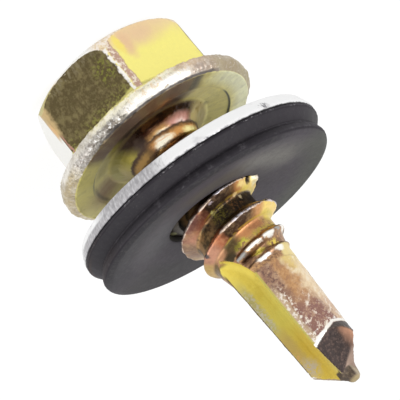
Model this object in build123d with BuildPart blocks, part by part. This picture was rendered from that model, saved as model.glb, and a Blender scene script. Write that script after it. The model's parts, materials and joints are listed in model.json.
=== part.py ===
from build123d import *

import math
import os

# Self-drilling screw with a hexagon washer head and a captive sealing washer.
# Millimetres. The screw stands on its head: Z = 0 is the top of the head and +Z runs
# along the screw's axis towards the drill point. Heights named "below the flange" are
# counted from the flange's bearing plane towards the point.

# ---- head ---------------------------------------------------------------------------
across_flats = 8.0
head_height = 4.85           # top of the head to the flange's bearing plane
hex_corner_radius = 0.40
top_face_diameter = 7.2
top_chamfer_angle = 30.0
top_chamfer_drop = 0.26      # depth of the straight chamfer
corner_drop = 1.12           # depth to which the forged corners are rounded off

# ---- flange -------------------------------------------------------------------------
flange_diameter = 10.92      # at the fullest part of the rim
rim_top_diameter = 10.72
seat_diameter = 10.14        # bearing face
flange_rim = 0.88            # height of the rounded rim
rim_bulge_height = 0.52      # bearing face to the fullest part of the rim
flange_slope = 16.0          # degrees, from the rim up to the hexagon
recess_diameter = 8.1        # relief around the neck, inside the bearing face
recess_step = 0.10
dish_depth = 0.36            # deepest point of the relief, at the foot of the neck
neck_fillet = 1.15

# ---- thread -------------------------------------------------------------------------
thread_diameter = 4.95
core_diameter = 3.62
pitch = 1.6
thread_angle = 60.0
crest_width = 0.12
root_overlap = 0.3           # the ridge is rooted this deep inside the core
thread_start = 1.11          # below the flange: first full crest
first_crest_angle = 189.1    # azimuth of the first full crest
start_fade_turns = 0.60      # the ridge grows out of the shank over this
full_turns = 3.25
# the crest after its last full turn: turns and pitches from the first full crest, diameter
runout = (
    (3.55, 3.51, 4.32),
    (3.98, 3.74, 4.12),
    (4.13, 3.99, 4.14),
    (4.31, 4.19, 4.14),
)
# low ridge where the rolled thread meets the drill body, given in the same way
burr = (
    (4.94, 4.26, 3.44),
    (5.10, 4.44, 3.62),
    (5.31, 4.69, 3.98),
)

# ---- drill point --------------------------------------------------------------------
length = 15.53               # bearing plane to the end of the point
drill_start = 8.1            # below the flange: end of the rolled thread
runout_cone = 0.8            # the core narrows here to the drill body
land_diameter = 3.86         # across the cutting edges
waist_diameter = 3.24        # across the heels
drill_taper = 1.6            # degrees a side
flute_azimuth = 17.3         # the way the first cutting face looks
flute_face = 0.17            # cutting face to the axis
flute_floor = 0.05           # flute floor to the axis
flute_angle = 82.0
flute_corner = 0.45
flute_runout_radius = 2.3    # of the cutter that forms the flute's upper end
flute_runout_start = 8.95    # below the flange: where the flute leaves its straight part
relief_azimuth = 47.3        # the way the first relief cone leans
# each lip has its own relief, a cone that is tilted so that the heel falls away:
# turn, half angle of the point, half angle of the relief cone, tilt
point_lips = ((0, 42.0, 49.5, 15.5), (180, 46.0, 54.3, 10.0))
nib_radius = 0.31            # blunt end of the web, a little off the axis
nib_height = 0.70
nib_taper = 9.0
nib_rounding = 0.24
nib_offset = 0.12
nib_azimuth = 189.3

# ---- sealing washer -----------------------------------------------------------------
disc_diameter = 13.34
disc_top_diameter = 12.9     # the edge is turned down towards the seal
disc_edge_height = 0.20
disc_thickness = 0.73
disc_bore = 5.9
seal_thickness = 1.46
seal_lip_diameter = 12.9     # lower ring of the seal
seal_band_height = 0.14      # bonded band, flush with the disc's edge
seal_groove_diameter = 12.3
seal_groove_depth = 0.80     # of the crease between the bonded band and the lower ring
seal_face_hollow = 0.30      # the sealing face falls away towards the bore
bore_clearance = 0.05        # between the thread's crest and the seal's bore
washer_gap = 2.32            # bearing plane to the top of the disc, on the axis
washer_lean = 6.9            # the thread holds the washer askew by about its lead angle
washer_lean_azimuth = 70.8
washer_shift = 0.18          # the washer sits a little off the axis
washer_shift_azimuth = 136.0

# ---- derived ------------------------------------------------------------------------
flange_radius = flange_diameter / 2
top_face_radius = top_face_diameter / 2
corner_extent = (across_flats / 2 - hex_corner_radius) / math.cos(math.pi / 6) + hex_corner_radius
chamfer_run = top_chamfer_drop / math.tan(math.radians(top_chamfer_angle))
rim_top = head_height - flange_rim
hex_base = rim_top - (rim_top_diameter / 2 - across_flats / 2) * math.tan(math.radians(flange_slope))

core_radius = core_diameter / 2
thread_radius = thread_diameter / 2
thread_root = core_radius - root_overlap

tip = head_height + length
drill_base = head_height + drill_start
land_radius = land_diameter / 2
cutting_azimuth = flute_azimuth - math.degrees(math.acos(flute_face / land_radius))
waist_radius = waist_diameter / 2
taper_run = (tip - drill_base) * math.tan(math.radians(drill_taper))
first_crest = head_height + thread_start
thread_path = [
    (-start_fade_turns, first_crest - pitch * start_fade_turns, core_radius),
    (0, first_crest, thread_radius),
    (full_turns, first_crest + pitch * full_turns, thread_radius),
]
thread_path += [(turn, first_crest + pitch * rise, diameter / 2) for turn, rise, diameter in runout]
burr_path = [(turn, first_crest + pitch * rise, diameter / 2) for turn, rise, diameter in burr]

disc_radius = disc_diameter / 2
bore_radius = thread_radius + bore_clearance
washer_normal = Vector(0, 0, 1).rotate(Axis.Y, washer_lean).rotate(Axis.Z, washer_lean_azimuth)
washer_height = head_height + washer_gap + disc_thickness
washer_centre = Vector(washer_shift, 0, washer_height).rotate(Axis.Z, washer_shift_azimuth)
washer_axis = Axis(washer_centre, washer_normal)
washer_plane = Plane(washer_centre, z_dir=washer_normal)
# local X runs outwards from the washer's axis and local Y along it, towards the point
washer_section = Plane(washer_centre, x_dir=washer_plane.x_dir, z_dir=-washer_plane.y_dir)


def helix_edge(low, high, azimuth):
    """One edge of a thread ridge between two (turn, height, radius) points."""
    turns = high[0] - low[0]
    rise = high[1] - low[1]
    cone = math.degrees(math.atan2(high[2] - low[2], rise))
    edge_pitch = rise / turns / math.cos(math.radians(cone))
    edge = Edge.make_helix(edge_pitch, rise, low[2], (0, 0, low[1]), (0, 0, 1), cone)
    return edge.rotate(Axis.Z, azimuth + 360 * low[0])


def thread_ridge(low, high):
    """The piece of the ridge between two crest points given as (turn, height, radius)."""
    corners = []
    for side in (-1, 1):
        crest_ends = []
        root_ends = []
        for turn, height, radius in (low, high):
            flank = (radius - thread_root) * math.tan(math.radians(thread_angle / 2))
            crest_ends.append((turn, height + side * crest_width / 2, radius))
            root_ends.append((turn, height + side * (crest_width / 2 + flank), thread_root))
        root_edge = helix_edge(*root_ends, first_crest_angle)
        crest_edge = helix_edge(*crest_ends, first_crest_angle)
        corners += [root_edge, crest_edge][::-side]
    faces = []
    for index, edge in enumerate(corners):
        faces.append(Face.make_surface_from_curves(edge, corners[(index + 1) % 4]))
    for end in (0, 1):
        ring = Wire.make_polygon([edge @ end for edge in corners], close=True)
        faces.append(Face(ring))
    return Solid(Shell(faces))


def rounding(start, middle, end):
    """A forged or moulded rounding: the middle third of an arc, with a chord at each end."""
    whole = ThreePointArc(start, middle, end, mode=Mode.PRIVATE)
    Line(whole @ 0, whole @ (1 / 3))
    ThreePointArc(whole @ (1 / 3), whole @ 0.5, whole @ (2 / 3))
    Line(whole @ (2 / 3), whole @ 1)
    return whole


# ---- the screw ----------------------------------------------------------------------
with BuildPart() as hexagon:
    with BuildSketch(Plane.XY) as hex_section:
        RegularPolygon(across_flats / 2, 6, major_radius=False, rotation=30)
        fillet(hex_section.vertices(), hex_corner_radius)
    extrude(amount=rim_top)
    with BuildSketch(Plane.XZ) as crown:
        with BuildLine():
            chamfer_end = (top_face_radius + chamfer_run, top_chamfer_drop)
            top = Line((0, 0), (top_face_radius, 0))
            chamfer_line = Line(top @ 1, chamfer_end)
            corner = (corner_extent, corner_drop)
            corner_arc = TangentArc(chamfer_end, corner, tangent=chamfer_line % 1)
            Polyline(corner_arc @ 1, (corner_extent, head_height), (0, head_height), (0, 0))
        make_face()
    revolve(axis=Axis.Z, mode=Mode.INTERSECT)

with BuildPart() as flute:
    straight_end = head_height + flute_runout_start
    root = Vector(flute_face, -flute_floor, straight_end).rotate(Axis.Z, flute_azimuth)
    outwards = Vector(0, -1, 0).rotate(Axis.Z, flute_azimuth + flute_angle / 2)
    flute_plane = Plane(root, x_dir=outwards, z_dir=(0, 0, 1))
    with BuildSketch(flute_plane) as notch:
        half_mouth = flute_runout_radius * math.tan(math.radians(flute_angle / 2))
        Polygon(
            (0, 0),
            (flute_runout_radius, -half_mouth),
            (flute_runout_radius, half_mouth),
            align=None,
        )
        fillet(notch.vertices().sort_by(Axis.X)[0], flute_corner)
    extrude(amount=length)
    wheel_axis = Axis(
        flute_plane.from_local_coords((flute_runout_radius, 0, 0)), flute_plane.y_dir
    )
    revolve(notch.sketch, axis=wheel_axis)


def relief(point_angle, relief_angle, tilt):
    """What a lip's point and its tilted relief cone leave outside, on its own side of the web."""
    lean = Vector(0, 0, -1).rotate(Axis.Y, -tilt).rotate(Axis.Z, relief_azimuth)
    across = Vector(1, 0, 0).rotate(Axis.Y, -tilt).rotate(Axis.Z, relief_azimuth)
    with BuildPart() as outside:
        with BuildSketch(Plane((0, 0, tip), x_dir=across, z_dir=across.cross(lean))):
            Polygon(
                (0, 0),
                (land_diameter, land_diameter / math.tan(math.radians(relief_angle))),
                (land_diameter, -nib_height),
                (0, -nib_height),
                align=None,
            )
        revolve(axis=Axis((0, 0, tip), lean))
        with BuildSketch(Plane.XZ):
            Polygon(
                (0, tip),
                (land_diameter, tip - land_diameter / math.tan(math.radians(point_angle))),
                (land_diameter, tip),
                align=None,
            )
        revolve(axis=Axis.Z)
        web_side = Vector(flute_floor, flute_face, 0).rotate(Axis.Z, flute_azimuth)
        split(bisect_by=Plane((0, 0, 0), z_dir=web_side), keep=Keep.BOTTOM)
    return outside.part


reliefs = [relief(*angles) for _, *angles in point_lips]

with BuildPart() as screw:
    add(hexagon.part)

    # flange, relief, neck and core in one turned profile
    with BuildSketch(Plane.XZ) as turned:
        with BuildLine():
            rim = rounding(
                (rim_top_diameter / 2, rim_top),
                (flange_diameter / 2, head_height - rim_bulge_height),
                (seat_diameter / 2, head_height),
            )
            dish_floor = head_height - dish_depth
            fillet_centre = Vector(core_radius + neck_fillet, dish_floor + neck_fillet)
            neck = rounding(
                (fillet_centre.X, dish_floor),
                fillet_centre - Vector(neck_fillet, 0).rotate(Axis.Z, 45),
                (core_radius, fillet_centre.Y),
            )
            Polyline(
                rim @ 1,
                (recess_diameter / 2, head_height),
                (recess_diameter / 2 - recess_step, head_height - recess_step),
                neck @ 0,
            )
            Polyline(
                neck @ 1,
                (core_radius, drill_base - runout_cone),
                (waist_radius, drill_base),
                (0, drill_base),
                (0, hex_base),
                (across_flats / 2, hex_base),
                rim @ 0,
            )
        make_face()
    revolve(axis=Axis.Z)

    # drill body: oval, widest across its two cutting edges
    with BuildSketch(Plane.XY.offset(drill_base)):
        Ellipse(land_radius, waist_radius, rotation=cutting_azimuth)
    with BuildSketch(Plane.XY.offset(tip)):
        Ellipse(land_radius - taper_run, waist_radius - taper_run, rotation=cutting_azimuth)
    loft()
    # thread: fade-in under the head, full turns, run-out, and the burr below it
    for path in (thread_path, burr_path):
        for low, high in zip(path, path[1:]):
            add(thread_ridge(low, high))
    # two flutes, two facets and the rounded web at the point
    with PolarLocations(0, 2):
        add(flute.part, mode=Mode.SUBTRACT)
    for (turn, *_), cut in zip(point_lips, reliefs):
        with Locations(Rotation(0, 0, turn)):
            add(cut, mode=Mode.SUBTRACT)
    nib_centre = Vector(nib_offset, 0, tip).rotate(Axis.Z, nib_azimuth)
    with BuildSketch(Plane(nib_centre, x_dir=(1, 0, 0), z_dir=(0, -1, 0))) as nib_section:
        nib_base = nib_radius + nib_height * math.tan(math.radians(nib_taper))
        Polygon(
            (0, 0),
            (nib_radius, 0),
            (nib_base, -nib_height),
            (0, -nib_height),
            align=None,
        )
        fillet(nib_section.vertices().group_by(Axis.Y)[-1].sort_by(Axis.X)[-1], nib_rounding)
    revolve(axis=Axis(nib_centre, (0, 0, 1)))
screw.part.label = "screw"

# ---- sealing washer: a steel disc with a bonded rubber seal --------------------------
with BuildPart() as seal_disc:
    with BuildSketch(washer_section):
        Polygon(
            (disc_bore / 2, 0),
            (disc_radius, 0),
            (disc_radius, -disc_edge_height),
            (disc_top_diameter / 2, -disc_thickness),
            (disc_bore / 2, -disc_thickness),
            align=None,
        )
    revolve(axis=washer_axis)
seal_disc.part.label = "seal_disc"

with BuildPart() as seal_ring:
    with BuildSketch(washer_section) as seal_section:
        with BuildLine():
            groove_radius = seal_groove_diameter / 2
            lip_radius = seal_lip_diameter / 2
            lip_rounding = (seal_thickness - seal_groove_depth) / 2
            face_depth = seal_thickness - seal_face_hollow
            Polyline(
                (0, face_depth),
                (0, 0),
                (disc_radius, 0),
                (disc_radius, seal_band_height),
                (groove_radius, seal_groove_depth),
            )
            lip_centre = Vector(lip_radius - lip_rounding, seal_thickness - lip_rounding)
            lip = rounding(
                lip_centre + Vector(lip_rounding, 0).rotate(Axis.Z, -45),
                lip_centre + Vector(lip_rounding, 0).rotate(Axis.Z, 22.5),
                lip_centre + Vector(0, lip_rounding),
            )
            Line((groove_radius, seal_groove_depth), lip @ 0)
            Polyline(lip @ 1, (bore_radius, face_depth), (0, face_depth))
        make_face()
    revolve(axis=washer_axis)
    # the bore runs along the screw, not square to the leaning washer
    with BuildSketch(Plane.XY):
        Circle(bore_radius)
    extrude(amount=tip, mode=Mode.SUBTRACT)
seal_ring.part.label = "seal_ring"

os.makedirs("parts", exist_ok=True)
export_step(screw.part, "parts/screw.step")
export_step(seal_disc.part, "parts/seal_disc.step")
export_step(seal_ring.part, "parts/seal_ring.step")
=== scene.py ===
import json
import math

import bpy
import numpy as np
from mathutils import Matrix, Vector


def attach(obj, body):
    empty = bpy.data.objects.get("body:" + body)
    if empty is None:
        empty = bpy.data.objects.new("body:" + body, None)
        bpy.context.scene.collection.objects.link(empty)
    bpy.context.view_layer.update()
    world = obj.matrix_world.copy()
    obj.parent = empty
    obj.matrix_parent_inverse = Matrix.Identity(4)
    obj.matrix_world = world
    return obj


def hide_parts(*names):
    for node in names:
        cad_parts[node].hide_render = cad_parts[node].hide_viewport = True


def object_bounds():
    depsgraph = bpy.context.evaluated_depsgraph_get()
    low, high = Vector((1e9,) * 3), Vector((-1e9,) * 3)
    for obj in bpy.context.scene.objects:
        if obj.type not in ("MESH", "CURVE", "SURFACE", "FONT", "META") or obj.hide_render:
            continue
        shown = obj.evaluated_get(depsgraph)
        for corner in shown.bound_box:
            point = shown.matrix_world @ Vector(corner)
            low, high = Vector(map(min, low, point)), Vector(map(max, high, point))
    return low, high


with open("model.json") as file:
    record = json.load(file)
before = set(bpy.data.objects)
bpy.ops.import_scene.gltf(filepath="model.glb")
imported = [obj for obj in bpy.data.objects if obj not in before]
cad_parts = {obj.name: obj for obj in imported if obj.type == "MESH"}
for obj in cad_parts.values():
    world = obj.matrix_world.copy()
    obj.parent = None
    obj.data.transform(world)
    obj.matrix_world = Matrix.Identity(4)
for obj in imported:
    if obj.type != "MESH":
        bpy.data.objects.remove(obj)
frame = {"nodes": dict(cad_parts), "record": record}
size_at_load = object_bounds()

MM = 0.001
mounts = {mount["name"]: mount for mount in frame["record"]["mounts"]}


# The screw stands on its head, with its axis along Z and its point up. Azimuths are counted about that axis,
# from +X. The photograph shows the side from -171 to 9 degrees.

# the camera that was fitted to the photograph
view_azimuth = 9.35
view_elevation = 21.71
view_roll = -219.21
view_distance = 0.250
view_target = Vector((0, 0, 0.010972))
pixels_per_mm = 20.965  # at the target
target_pixel = (237.0, 237.36)  # where the target shows
image_side = 400


# ---- node trees in plain arithmetic

class Wire:
    """A value in a node tree; arithmetic on it adds the nodes that work it out."""

    def __init__(self, nodes, socket):
        self.nodes = nodes
        self.socket = socket

    def __add__(self, other):
        return self.nodes.maths("ADD", self, other)

    def __sub__(self, other):
        return self.nodes.maths("SUBTRACT", self, other)

    def __rsub__(self, other):
        return self.nodes.maths("SUBTRACT", other, self)

    def __mul__(self, other):
        return self.nodes.maths("MULTIPLY", self, other)

    def __truediv__(self, other):
        return self.nodes.maths("DIVIDE", self, other)

    __radd__ = __add__


class Nodes:
    """A node tree that is built up from values."""

    def __init__(self, owner):
        """Takes the tree of a material or a world."""
        owner.use_nodes = True
        self.tree = owner.node_tree

    def plug(self, value, socket):
        """Links a node's output to a socket, or writes a plain value into it."""
        if isinstance(value, Wire):
            self.tree.links.new(value.socket, socket)
        elif isinstance(value, bpy.types.NodeSocket):
            self.tree.links.new(value, socket)
        else:
            socket.default_value = value

    def node(self, kind, *values):
        """A new node with these values in its first inputs."""
        node = self.tree.nodes.new("ShaderNode" + kind)
        for value, socket in zip(values, node.inputs):
            self.plug(value, socket)
        return node

    def maths(self, operation, *values):
        """A number worked out from numbers."""
        node = self.node("Math", *values)
        node.operation = operation
        return Wire(self, node.outputs[0])


class Paint(Nodes):
    """One material's node tree.

    Lengths are in millimetres and angles in degrees, about the piece's own Z axis. A share is a value from 0
    to 1 that says where a tone lies, and a tone is a colour as it looks on screen, from 0 to 255.
    """

    def __init__(self, name, base):
        """Starts a material that is painted all over in the base tone."""
        self.material = bpy.data.materials.new(name)
        super().__init__(self.material)
        self.shader = self.tree.nodes["Principled BSDF"]
        coordinates = self.node("TexCoord").outputs
        self.points = coordinates["Object"]
        self.place = self.scaled(self.points, 1 / MM)
        self.x, self.y, self.z = (Wire(self, part) for part in self.node("SeparateXYZ", self.place).outputs)
        level = self.vector("MULTIPLY", self.place, (1, 1, 0))
        self.radius = self.measured("LENGTH", level)
        self.outward = self.vector("NORMALIZE", level)
        self.azimuth = self.maths("DEGREES", self.maths("ARCTAN2", self.y, self.x))
        self.facing_z = Wire(self, self.node("SeparateXYZ", coordinates["Normal"]).outputs["Z"])
        self.colour = rgba(base)

    def vector_node(self, operation, *values):
        """A node that does an operation on vectors."""
        node = self.node("VectorMath", *values)
        node.operation = operation
        return node

    def vector(self, operation, *values):
        """A vector worked out from vectors."""
        return self.vector_node(operation, *values).outputs[0]

    def measured(self, operation, *values):
        """A number worked out from vectors."""
        return Wire(self, self.vector_node(operation, *values).outputs[1])

    def scaled(self, vector, factor):
        """A vector times a number."""
        node = self.vector_node("SCALE", vector)
        self.plug(factor, node.inputs["Scale"])
        return node.outputs[0]

    def toward(self, azimuth):
        """How far out a point lies towards an azimuth."""
        a = math.radians(azimuth)
        return self.x * math.cos(a) + self.y * math.sin(a)

    def turned(self, middle):
        """The azimuth counted from middle, in -180 to 180 degrees."""
        return self.maths("FLOORED_MODULO", self.azimuth - (middle - 180), 360) - 180

    def stretched(self, along, run=(0, 0, 1)):
        """A place for noise with lumps drawn out along run; their width is along times their length."""
        node = self.tree.nodes.new("ShaderNodeMapping")
        node.vector_type = "TEXTURE"
        self.plug(self.points, node.inputs["Vector"])
        node.inputs["Rotation"].default_value = Vector(run).to_track_quat("Z", "Y").to_euler()
        node.inputs["Scale"].default_value = (1, 1, 1 / along)
        return node.outputs[0]

    def streaks(self, width, detail=2.0):
        """Noise from 0 to 1 that runs out from the axis in streaks about width degrees wide.

        The far side mirrors the side that the photograph shows, so no seam is in view.
        """
        node = self.noise(MM / width, detail).socket.node
        node.noise_dimensions = "1D"
        self.plug(self.maths("ABSOLUTE", self.turned(view_azimuth)), node.inputs["W"])
        return Wire(self, node.outputs[0])

    def rough_out(self, *waves):
        """Gives arcs and spots ragged edges, by waves of (lumps to the millimetre, reach in millimetres)."""
        self.ragged = self.place
        for scale, reach in waves:
            lumps_in_colour = self.noise(scale, 2, 0.6).socket.node.outputs["Color"]
            channels = self.node("SeparateColor", lumps_in_colour).outputs
            swing = self.vector("SUBTRACT", self.node("CombineXYZ", *channels).outputs[0], (0.5, 0.5, 0.5))
            self.ragged = self.vector("ADD", self.ragged, self.scaled(swing, reach * 2))
        self.ragged_out = self.vector("NORMALIZE", self.vector("MULTIPLY", self.ragged, (1, 1, 0)))

    def ramp(self, value, low, high):
        """0 up to low and 1 from high, with a soft step between; low may be the larger."""
        node = self.node("MapRange", value, low, high)
        node.interpolation_type = "SMOOTHSTEP"
        return Wire(self, node.outputs["Result"])

    def band(self, value, low, high, soft):
        """1 between low and high, fading out over soft to each side."""
        return self.ramp(value, low - soft, low + soft) * self.ramp(value, high + soft, high - soft)

    def arc(self, low, high, soft=4.0, ragged=True):
        """1 between two azimuths, fading out over soft degrees to each side."""
        middle, half = math.radians((low + high) / 2), math.radians((high - low) / 2)
        soft = min(math.radians(soft), half, math.pi - half)
        direction = (math.cos(middle), math.sin(middle), 0)
        facing = self.measured("DOT_PRODUCT", self.ragged_out if ragged else self.outward, direction)
        return self.ramp(facing, math.cos(half + soft), math.cos(half - soft))

    def spot(self, azimuth, radius, z, wide, high, soft=0.4):
        """An oval patch, wide round the screw and high along it."""
        a = math.radians(azimuth)
        shape = (2 / wide, 2 / wide, 2 / high)
        centre = (radius * math.cos(a), radius * math.sin(a), z)
        offset = tuple(-c * s for c, s in zip(centre, shape))
        away = self.measured("LENGTH", self.vector("MULTIPLY_ADD", self.ragged, shape, offset))
        return self.ramp(away, 1 + soft, 1 - soft)

    def noise(self, scale, detail=2.0, roughness=0.5, at=None):
        """Noise from 0 to 1, with this many lumps to the millimetre."""
        node = self.tree.nodes.new("ShaderNodeTexNoise")
        self.plug(at or self.points, node.inputs["Vector"])
        node.inputs["Scale"].default_value = scale / MM
        node.inputs["Detail"].default_value = detail
        node.inputs["Roughness"].default_value = roughness
        return Wire(self, node.outputs["Fac"])

    def mix(self, low, high, share):
        """A colour between two, by share."""
        node = self.tree.nodes.new("ShaderNodeMix")
        node.data_type = "RGBA"
        self.plug(share, node.inputs[0])
        self.plug(low, node.inputs[6])
        self.plug(high, node.inputs[7])
        return node.outputs[2]

    def lay(self, share, tone):
        """Lays a tone over what is painted so far."""
        self.colour = self.mix(self.colour, rgba(tone), share)

    def lay_arcs(self, share, *arcs):
        """Lays a tone on each arc in turn: (from azimuth, to azimuth, soft edge, tone)."""
        for *shape, tone in arcs:
            self.lay(share * self.arc(*shape), tone)

    def lay_spots(self, share, *spots):
        """Lays a tone on each spot in turn: (azimuth, radius, z, width, height, soft edge, tone)."""
        for *shape, tone in spots:
            self.lay(share * self.spot(*shape), tone)

    def dim(self, factor):
        """Makes what is painted so far darker or lighter by a factor."""
        self.colour = self.scaled(self.colour, factor)

    def mottle(self, share, value, dark, light, amount=0.5):
        """Lays a dark tone where value is low and a light one where it is high."""
        share = share * amount
        self.lay(self.ramp(value, 0.50, 0.36) * share, dark)
        self.lay(self.ramp(value, 0.50, 0.64) * share, light)

    def bump(self, height, depth):
        """Raises the surface by height (0 to 1) times depth."""
        node = self.tree.nodes.new("ShaderNodeBump")
        node.inputs["Strength"].default_value = 1.0
        node.inputs["Distance"].default_value = depth * MM
        self.plug(height, node.inputs["Height"])
        self.plug(node.outputs[0], self.shader.inputs["Normal"])

    def finish(self, metallic, roughness):
        """Joins what is painted to the shader and gives the material."""
        self.plug(self.colour, self.shader.inputs["Base Color"])
        self.plug(metallic, self.shader.inputs["Metallic"])
        self.plug(roughness, self.shader.inputs["Roughness"])
        return self.material


def rgba(tone):
    """A colour given as it looks on screen, from 0 to 255, as the linear one that a shader takes."""
    def linear(value):
        value = value / 255
        return value / 12.92 if value <= 0.04045 else ((value + 0.055) / 1.055) ** 2.4
    return (*(linear(value) for value in tone), 1.0)


# ---- pieces over the CAD nodes

def add_object(name, data):
    """A new object in the scene."""
    new = bpy.data.objects.new(name, data)
    bpy.context.scene.collection.objects.link(new)
    return new


def eased_copy(node, name, place, voxel, smoothing, triangles):
    """A dense copy of a CAD node with its sharp edges eased, whose object stands at place."""
    source = frame["nodes"][node]
    mesh = source.data.copy()
    mesh.transform(place.inverted())
    rough = add_object(name + "_rough", mesh)
    remesh = rough.modifiers.new("remesh", "REMESH")
    remesh.mode = "VOXEL"
    remesh.voxel_size = voxel * MM
    smooth = rough.modifiers.new("smooth", "SMOOTH")
    smooth.factor = 0.5
    smooth.iterations = smoothing
    fine = evaluated_mesh(rough)
    quads = len(fine.polygons)
    bpy.data.objects.remove(rough)

    piece = add_object(name, fine)
    piece.matrix_world = place
    if triangles < 2 * quads:
        decimate = piece.modifiers.new("decimate", "DECIMATE")
        decimate.ratio = triangles / (2 * quads)
    return piece


def evaluated_mesh(piece):
    """A new mesh of a piece as its modifiers leave it."""
    bpy.context.view_layer.update()
    graph = bpy.context.evaluated_depsgraph_get()
    return bpy.data.meshes.new_from_object(piece.evaluated_get(graph))


def apply_modifiers(piece):
    """Makes what the modifiers do to a piece its own mesh, smoothly shaded."""
    fine = evaluated_mesh(piece)
    piece.modifiers.clear()
    piece.data = fine
    fine.shade_smooth()


def vectors(items, name):
    """A property of a mesh's vertices, normals or faces, as rows of three numbers."""
    values = np.empty(3 * len(items), np.float32)
    items.foreach_get(name, values)
    return values.reshape(-1, 3)


def raise_surface(piece, height_at):
    """Moves each vertex along its normal by height_at(points) millimetres; points are in millimetres too."""
    mesh = piece.data
    places = vectors(mesh.vertices, "co")
    normals = vectors(mesh.vertex_normals, "vector")
    moved = places + normals * (height_at(places / MM) * MM)[:, None]
    mesh.vertices.foreach_set("co", moved.astype(np.float32).ravel())
    mesh.update()


lattice_side = 64
lattice_seed = 7
lattice = np.random.default_rng(lattice_seed).uniform(-1, 1, (lattice_side,) * 3)
octave_shift = 17.3  # so that the octaves' lattices don't line up


def lumps(points, scale, octaves):
    """Fractal noise around 0 at each point, with scale lumps to the millimetre."""
    total = np.zeros(len(points))
    for octave in range(octaves):
        places = points * (scale * 2 ** octave) + octave_shift * octave
        cell = np.floor(places)
        share = step(places - cell, 0, 1)
        low = cell.astype(int) % lattice_side
        high = (low + 1) % lattice_side
        for corner in np.ndindex(2, 2, 2):
            i, j, k = (high[:, n] if corner[n] else low[:, n] for n in range(3))
            weight = np.prod([share[:, n] if corner[n] else 1 - share[:, n] for n in range(3)], axis=0)
            total += lattice[i, j, k] * weight / 2 ** octave
    return total


def step(values, low, high):
    """0 up to low and 1 from high, with a soft step between; low may be the larger."""
    t = np.clip((values - low) / (high - low), 0, 1)
    return t * t * (3 - 2 * t)


# ---- screw

# sizes of the CAD part, in millimetres and degrees, that the finish follows
hex_half_width = 4.0
crown_depth = 1.3
hex_base = 3.58
flange_rise = math.tan(math.radians(16))
rim_top = 3.97
rim_middle = 4.33
seat_radius = 5.07
neck_radius = 2.95
bearing_plane = 4.85
neck_end = 6.1  # inside the washer
first_crest = 5.96
first_crest_azimuth = 189.1
pitch = 1.6
core_radius = 1.81
crest_radius = 2.475
thread_end = 12.0  # where the last turn dies away
drill_base = 12.95
drill_taper = math.tan(math.radians(1.6))
land_radius = 1.93
waist_radius = 1.62
land_azimuth = -67.6
front_azimuth = -80  # that the camera sees in the middle
flute_azimuth = 9.3  # the way the first flute's floor runs outwards
flute_depth = 0.026  # floor to the axis
flute_wheel = 2.3  # radius of the flute's run-out
flute_straight = 13.8  # where the run-out starts
run_out_height = 12.15  # where the golden film around the run-out starts to narrow
run_out_narrowing = 0.24  # of that film, to the millimetre of height
point_start = 17.5
nib_top = 19.65
nib_radius = 0.46
nib_tip = 20.36
edge_height = 17.78  # of the ground edge that shows on a relief cone
edge_rise = 0.012  # of that edge, to the degree
scratch_run = (0.64, -0.37, 0.67)  # the way the scratches on the lands run

# the piece that is torn out of a crest, as (azimuth, radius, z): a flap that stands up and the gap beside it
torn_flap = (-164, 2.48, 9.26)
torn_gap = (-149, 2.46, 9.35)

film_metallic = 0.92


def bump_at(p, azimuth, radius, z, wide):
    """1 at a place on the screw, falling to 0 about wide millimetres across."""
    a = math.radians(azimuth)
    away = p - np.array((radius * math.cos(a), radius * math.sin(a), z))
    return np.exp(-np.sum(away * away, axis=1) / (wide / 2) ** 2)


def screw_height(p):
    """The forging's unevenness: worn corners, a dented rim, nicked crests and a pitted drill body."""
    radius = np.hypot(p[:, 0], p[:, 1])
    z = p[:, 2]
    azimuth = np.degrees(np.arctan2(p[:, 1], p[:, 0]))
    from_face_middle = np.mod(azimuth + 210, 60) - 30
    along_face = radius * np.sin(np.radians(from_face_middle))
    hex_corner = step(np.abs(along_face), 1.9, 2.2) * step(z, hex_base, hex_base - 0.3)
    rim = step(radius, 4.95, 5.1)
    crest = step(radius, 2.2, 2.4) * step(radius, 2.7, 2.5)
    drill = step(z, drill_base, drill_base + 0.3)
    broad = lumps(p, 2.6, 3)
    upright = lumps(p * (1, 1, 0.25), 5.5, 2)
    fine = lumps(p, 9.0, 2)
    torn = bump_at(p, *torn_flap, wide=0.6) * 0.20 - bump_at(p, *torn_gap, wide=0.44) * 0.34
    return (
        torn
        + broad * (0.006 + 0.020 * np.maximum(hex_corner, rim) + 0.030 * crest)
        + upright * (0.003 + 0.022 * rim)
        + fine * (0.003 + 0.008 * drill + 0.010 * rim)
    )


def zinc_chromate(name):
    """Yellow chromate over zinc: brass yellow, with brown, olive and rose clouds where the film is thicker.

    The noises cloud, patch, grain and speck go from lumps of nearly 2 mm to lumps of less than 0.1 mm.
    """
    m = Paint(name, (206, 186, 104))
    m.rough_out((1.6, 0.16), (6.0, 0.08))
    m.cloud = m.noise(0.6, 3, 0.6)
    m.patch = m.noise(2.0, 3, 0.6)
    m.grain = m.noise(6.0, 3, 0.65)
    m.speck = m.noise(12.0, 2, 0.6)
    return m


def weather(m):
    """Shades the film unevenly and pits it."""
    m.dim(0.95 + m.grain * 0.10)
    m.bump(m.grain * 0.6 + m.speck * 0.4, 0.014)


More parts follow.
